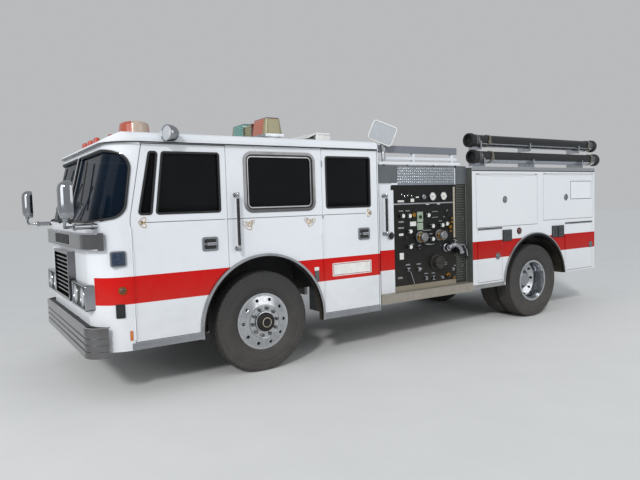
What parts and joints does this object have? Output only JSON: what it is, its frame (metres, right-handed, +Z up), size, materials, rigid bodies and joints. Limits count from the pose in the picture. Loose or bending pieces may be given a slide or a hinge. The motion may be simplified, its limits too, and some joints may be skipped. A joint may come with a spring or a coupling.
{
  "type": "fire engine",
  "caption": "Four-door fire engine with a mid pump house, equipment compartments with opening doors, roof lamps and suction hoses; wheels roll and steer.",
  "frame": {"origin": "on the ground in the middle of the length and the width", "axes": "+X forward, +Y to the left, +Z up"},
  "size_m": [8.35, 2.75, 2.805],
  "materials": {
    "white_paint": "gloss",
    "chrome": "polished",
    "tyre": "matt",
    "polished_aluminium": "polished",
    "frame_paint": "satin",
    "engine_paint": "satin",
    "tinted_glass": "gloss",
    "clear_glass": "gloss",
    "black_vinyl": "satin",
    "dash_plastic": "matt",
    "black_panel": "satin",
    "treadplate": "worn",
    "hose_rubber": "satin",
    "lens_plastic": "gloss",
    "cast_fittings": "cast",
    "floor_paint": "satin"
  },
  "bodies": {
    "body": {"cab_front": "white_paint", "cab_sides": "white_paint", "cab_rear_wall": "white_paint", "cab_roof": "white_paint", "cab_floor": "floor_paint", "engine_cover": "black_vinyl", "dashboard": "dash_plastic", "steering_wheel": "dash_plastic", "seats": "black_vinyl", "cab_glass": "clear_glass", "grille": "chrome", "headlights": "chrome", "bumper": "chrome", "mirrors": "chrome", "fenderettes": "chrome", "chassis_frame": "frame_paint", "axles": "frame_paint", "leaf_springs": "frame_paint", "powertrain": "engine_paint", "fuel_tank": "frame_paint", "pump_house": "white_paint", "pump_panels": "black_panel", "pump_fittings": "cast_fittings", "running_boards": "treadplate", "body_left": "white_paint", "body_right": "white_paint", "hose_bed": "treadplate", "suction_hoses": "hose_rubber", "hose_racks": "treadplate", "grab_rails": "chrome", "roof_lights": "lens_plastic", "roof_fittings": "white_paint", "body_lights": "lens_plastic"},
    "knuckle_left": {"knuckle_left": "frame_paint"},
    "front_wheel_left": {"wheel_front_left": "polished_aluminium", "tyre_front_left": "tyre"},
    "rear_wheels_left": {"wheels_rear_left": "polished_aluminium", "tyres_rear_left": "tyre"},
    "cab_door_front_left": {"cab_door_front_left": "white_paint", "door_glass_front_left": "tinted_glass"},
    "cab_door_rear_left": {"cab_door_rear_left": "white_paint", "door_glass_rear_left": "tinted_glass"},
    "door_upper_front_left": {"door_upper_front_left": "white_paint"},
    "door_upper_rear_left": {"door_upper_rear_left": "white_paint"},
    "door_lower_front_left": {"door_lower_front_left": "white_paint"},
    "door_lower_rear_left": {"door_lower_rear_left": "white_paint"},
    "knuckle_right": {"knuckle_right": "frame_paint"},
    "front_wheel_right": {"wheel_front_right": "polished_aluminium", "tyre_front_right": "tyre"},
    "rear_wheels_right": {"wheels_rear_right": "polished_aluminium", "tyres_rear_right": "tyre"},
    "cab_door_front_right": {"cab_door_front_right": "white_paint", "door_glass_front_right": "tinted_glass"},
    "cab_door_rear_right": {"cab_door_rear_right": "white_paint", "door_glass_rear_right": "tinted_glass"},
    "door_upper_front_right": {"door_upper_front_right": "white_paint"},
    "door_upper_rear_right": {"door_upper_rear_right": "white_paint"},
    "door_lower_front_right": {"door_lower_front_right": "white_paint"},
    "door_lower_rear_right": {"door_lower_rear_right": "white_paint"}
  },
  "joints": [
    {"name": "steer_left", "type": "hinge", "parent": "body", "child": "knuckle_left", "pos_m": [2.205, 0.85, 0.535], "axis": [0, 0, 1], "range_deg": [-35, 35]},
    {"name": "front_wheel_spin_left", "type": "hinge", "parent": "knuckle_left", "child": "front_wheel_left", "pos_m": [2.205, 1.025, 0.535], "axis": [0, 1, 0], "continuous": true},
    {"name": "rear_wheel_spin_left", "type": "hinge", "parent": "body", "child": "rear_wheels_left", "pos_m": [-2.275, 0.9, 0.535], "axis": [0, 1, 0], "continuous": true},
    {"name": "cab_door_front_left_hinge", "type": "hinge", "parent": "body", "child": "cab_door_front_left", "pos_m": [3.566, 1.226, 1.2], "axis": [0, 0, -1], "range_deg": [0, 75]},
    {"name": "cab_door_rear_left_hinge", "type": "hinge", "parent": "body", "child": "cab_door_rear_left", "pos_m": [1.466, 1.226, 1.2], "axis": [0, 0, -1], "range_deg": [0, 75]},
    {"name": "door_upper_front_left_hinge", "type": "hinge", "parent": "body", "child": "door_upper_front_left", "pos_m": [-1.6735, 1.226, 2.093], "axis": [1, 0, 0], "range_deg": [0, 90]},
    {"name": "door_upper_rear_left_hinge", "type": "hinge", "parent": "body", "child": "door_upper_rear_left", "pos_m": [-3.11, 1.226, 2.103], "axis": [1, 0, 0], "range_deg": [0, 90]},
    {"name": "door_lower_front_left_hinge", "type": "hinge", "parent": "body", "child": "door_lower_front_left", "pos_m": [-1.042, 1.226, 0.98], "axis": [0, 0, -1], "range_deg": [0, 100]},
    {"name": "door_lower_rear_left_hinge", "type": "hinge", "parent": "body", "child": "door_lower_rear_left", "pos_m": [-3.007, 1.226, 0.98], "axis": [0, 0, -1], "range_deg": [0, 100]},
    {"name": "steer_right", "type": "hinge", "parent": "body", "child": "knuckle_right", "pos_m": [2.205, -0.85, 0.535], "axis": [0, 0, 1], "range_deg": [-35, 35]},
    {"name": "front_wheel_spin_right", "type": "hinge", "parent": "knuckle_right", "child": "front_wheel_right", "pos_m": [2.205, -1.025, 0.535], "axis": [0, 1, 0], "continuous": true},
    {"name": "rear_wheel_spin_right", "type": "hinge", "parent": "body", "child": "rear_wheels_right", "pos_m": [-2.275, -0.9, 0.535], "axis": [0, 1, 0], "continuous": true},
    {"name": "cab_door_front_right_hinge", "type": "hinge", "parent": "body", "child": "cab_door_front_right", "pos_m": [3.566, -1.226, 1.2], "axis": [0, 0, 1], "range_deg": [0, 75]},
    {"name": "cab_door_rear_right_hinge", "type": "hinge", "parent": "body", "child": "cab_door_rear_right", "pos_m": [1.466, -1.226, 1.2], "axis": [0, 0, 1], "range_deg": [0, 75]},
    {"name": "door_upper_front_right_hinge", "type": "hinge", "parent": "body", "child": "door_upper_front_right", "pos_m": [-1.6735, -1.226, 2.093], "axis": [-1, 0, 0], "range_deg": [0, 90]},
    {"name": "door_upper_rear_right_hinge", "type": "hinge", "parent": "body", "child": "door_upper_rear_right", "pos_m": [-3.11, -1.226, 2.103], "axis": [-1, 0, 0], "range_deg": [0, 90]},
    {"name": "door_lower_front_right_hinge", "type": "hinge", "parent": "body", "child": "door_lower_front_right", "pos_m": [-1.042, -1.226, 0.98], "axis": [0, 0, 1], "range_deg": [0, 100]},
    {"name": "door_lower_rear_right_hinge", "type": "hinge", "parent": "body", "child": "door_lower_rear_right", "pos_m": [-3.007, -1.226, 0.98], "axis": [0, 0, 1], "range_deg": [0, 100]}
  ],
  "couplings": [
    {"joint": "steer_right", "follows": "steer_left", "ratio": 1}
  ]
}
